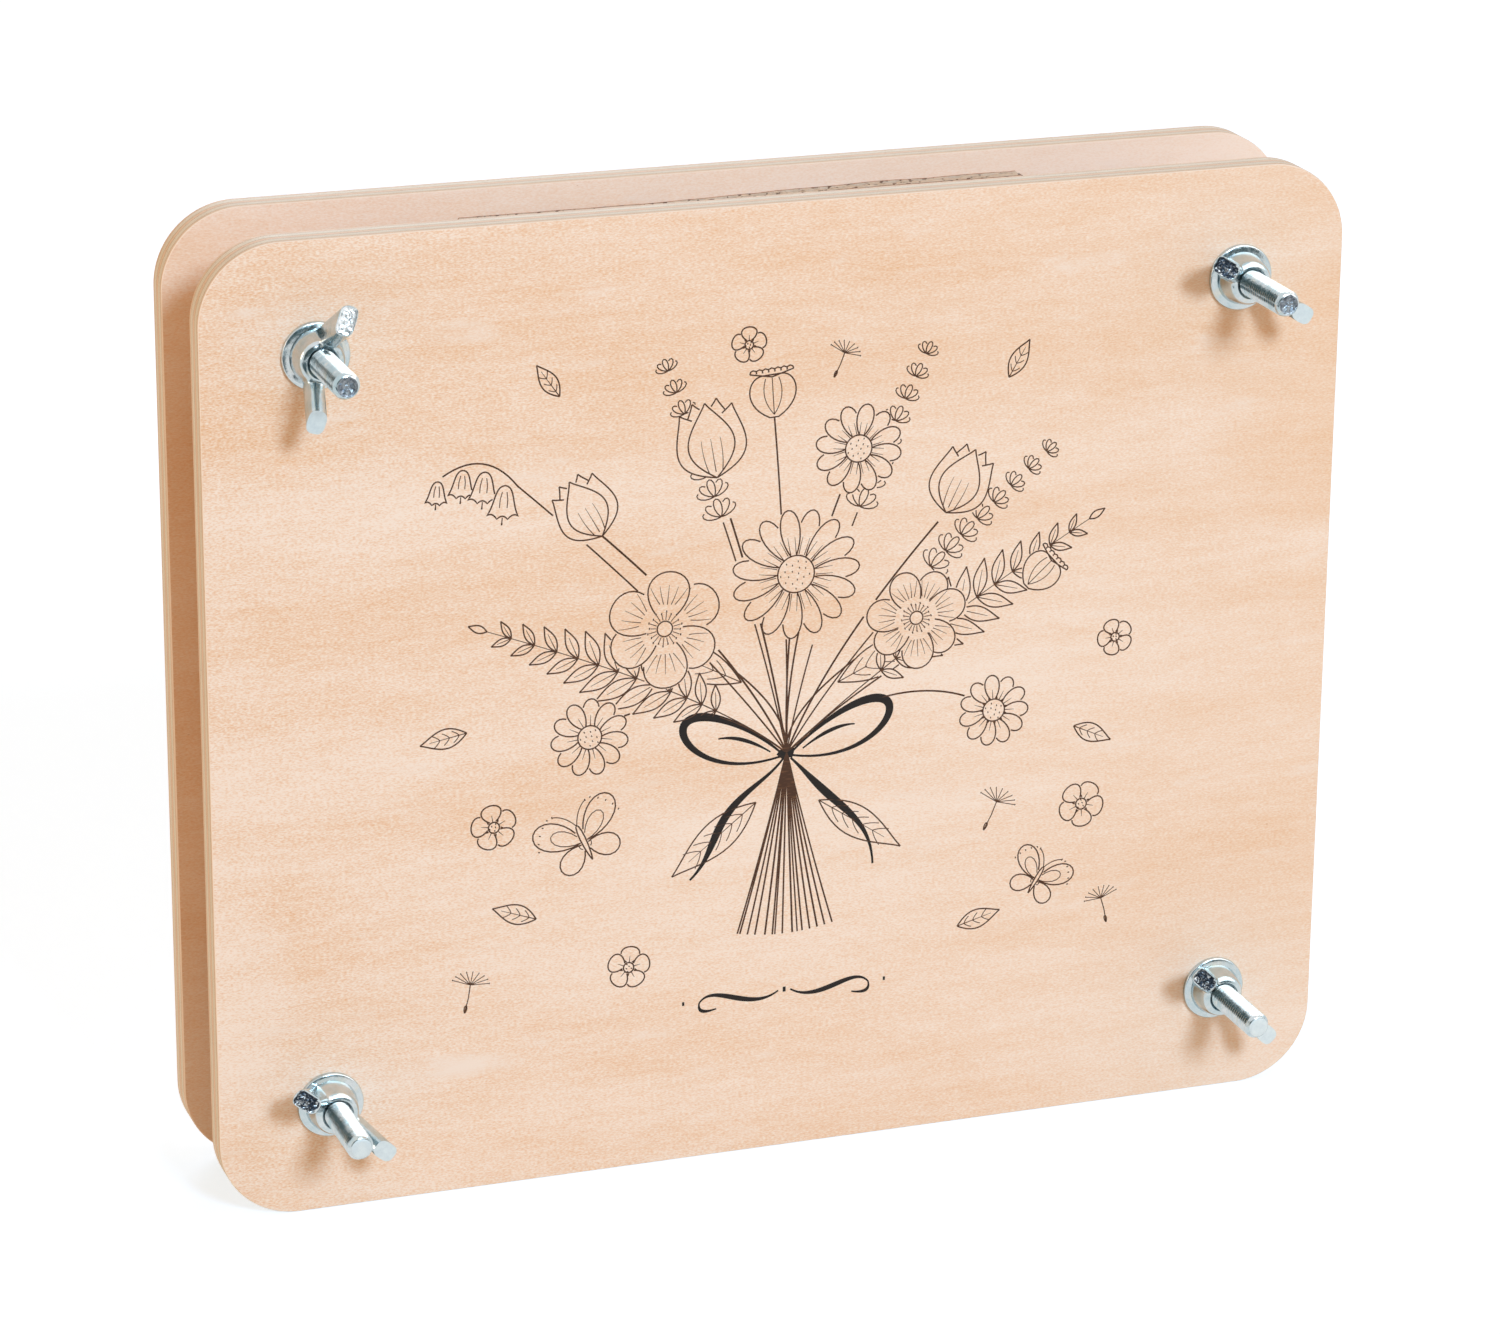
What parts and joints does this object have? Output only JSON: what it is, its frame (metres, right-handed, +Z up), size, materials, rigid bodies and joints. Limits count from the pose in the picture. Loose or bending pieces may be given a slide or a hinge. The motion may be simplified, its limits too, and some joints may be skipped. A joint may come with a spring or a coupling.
{
  "type": "flower press",
  "caption": "Flower press with rounded plywood boards that clamp a stack of corrugated card and blotting paper, tightened by wing nuts on corner bolts.",
  "frame": {"origin": "under the middle of the press, at the height of the boards' lower edges", "axes": "+X along the boards' width, +Z up along their height, -Y towards the wing nuts"},
  "size_m": [0.22, 0.058, 0.185],
  "materials": {
    "plywood": "sanded bare wood",
    "zinc": "bright zinc plate with a faint blue tint",
    "card": "matte kraft card",
    "blotter": "soft matte paper"
  },
  "bodies": {
    "back_frame": {"back_board": "plywood", "bolt_top_left": "zinc", "bolt_top_right": "zinc", "bolt_bottom_right": "zinc", "bolt_bottom_left": "zinc", "card_1": "card", "card_2": "card", "card_3": "card", "card_4": "card", "card_5": "card", "card_6": "card", "blotter_1": "blotter", "blotter_2": "blotter", "blotter_3": "blotter", "blotter_4": "blotter", "blotter_5": "blotter", "blotter_6": "blotter", "blotter_7": "blotter", "blotter_8": "blotter", "blotter_9": "blotter", "blotter_10": "blotter"},
    "front_frame": {"front_board": "plywood", "washer_top_left": "zinc", "washer_top_right": "zinc", "washer_bottom_right": "zinc", "washer_bottom_left": "zinc"},
    "nut_top_left": {"wing_nut_top_left": "zinc"},
    "nut_top_right": {"wing_nut_top_right": "zinc"},
    "nut_bottom_right": {"wing_nut_bottom_right": "zinc"},
    "nut_bottom_left": {"wing_nut_bottom_left": "zinc"}
  },
  "joints": [
    {"name": "front_slide", "type": "slide", "parent": "back_frame", "child": "front_frame", "axis": [0, -1, 0], "range_m": [0, 0.012]},
    {"name": "top_left_nut_turn", "type": "hinge", "parent": "front_frame", "child": "nut_top_left", "pos_m": [-0.089, -0.0086, 0.164], "axis": [0, -1, 0], "range_deg": [0, 5400]},
    {"name": "top_right_nut_turn", "type": "hinge", "parent": "front_frame", "child": "nut_top_right", "pos_m": [0.089, -0.0086, 0.164], "axis": [0, -1, 0], "range_deg": [0, 5400]},
    {"name": "bottom_right_nut_turn", "type": "hinge", "parent": "front_frame", "child": "nut_bottom_right", "pos_m": [0.089, -0.0086, 0.021], "axis": [0, -1, 0], "range_deg": [0, 5400]},
    {"name": "bottom_left_nut_turn", "type": "hinge", "parent": "front_frame", "child": "nut_bottom_left", "pos_m": [-0.089, -0.0086, 0.021], "axis": [0, -1, 0], "range_deg": [0, 5400]}
  ],
  "couplings": [
    {"joint": "top_left_nut_turn", "follows": "front_slide", "rad_per_m": 7854},
    {"joint": "top_right_nut_turn", "follows": "front_slide", "rad_per_m": 7854},
    {"joint": "bottom_right_nut_turn", "follows": "front_slide", "rad_per_m": 7854},
    {"joint": "bottom_left_nut_turn", "follows": "front_slide", "rad_per_m": 7854}
  ]
}
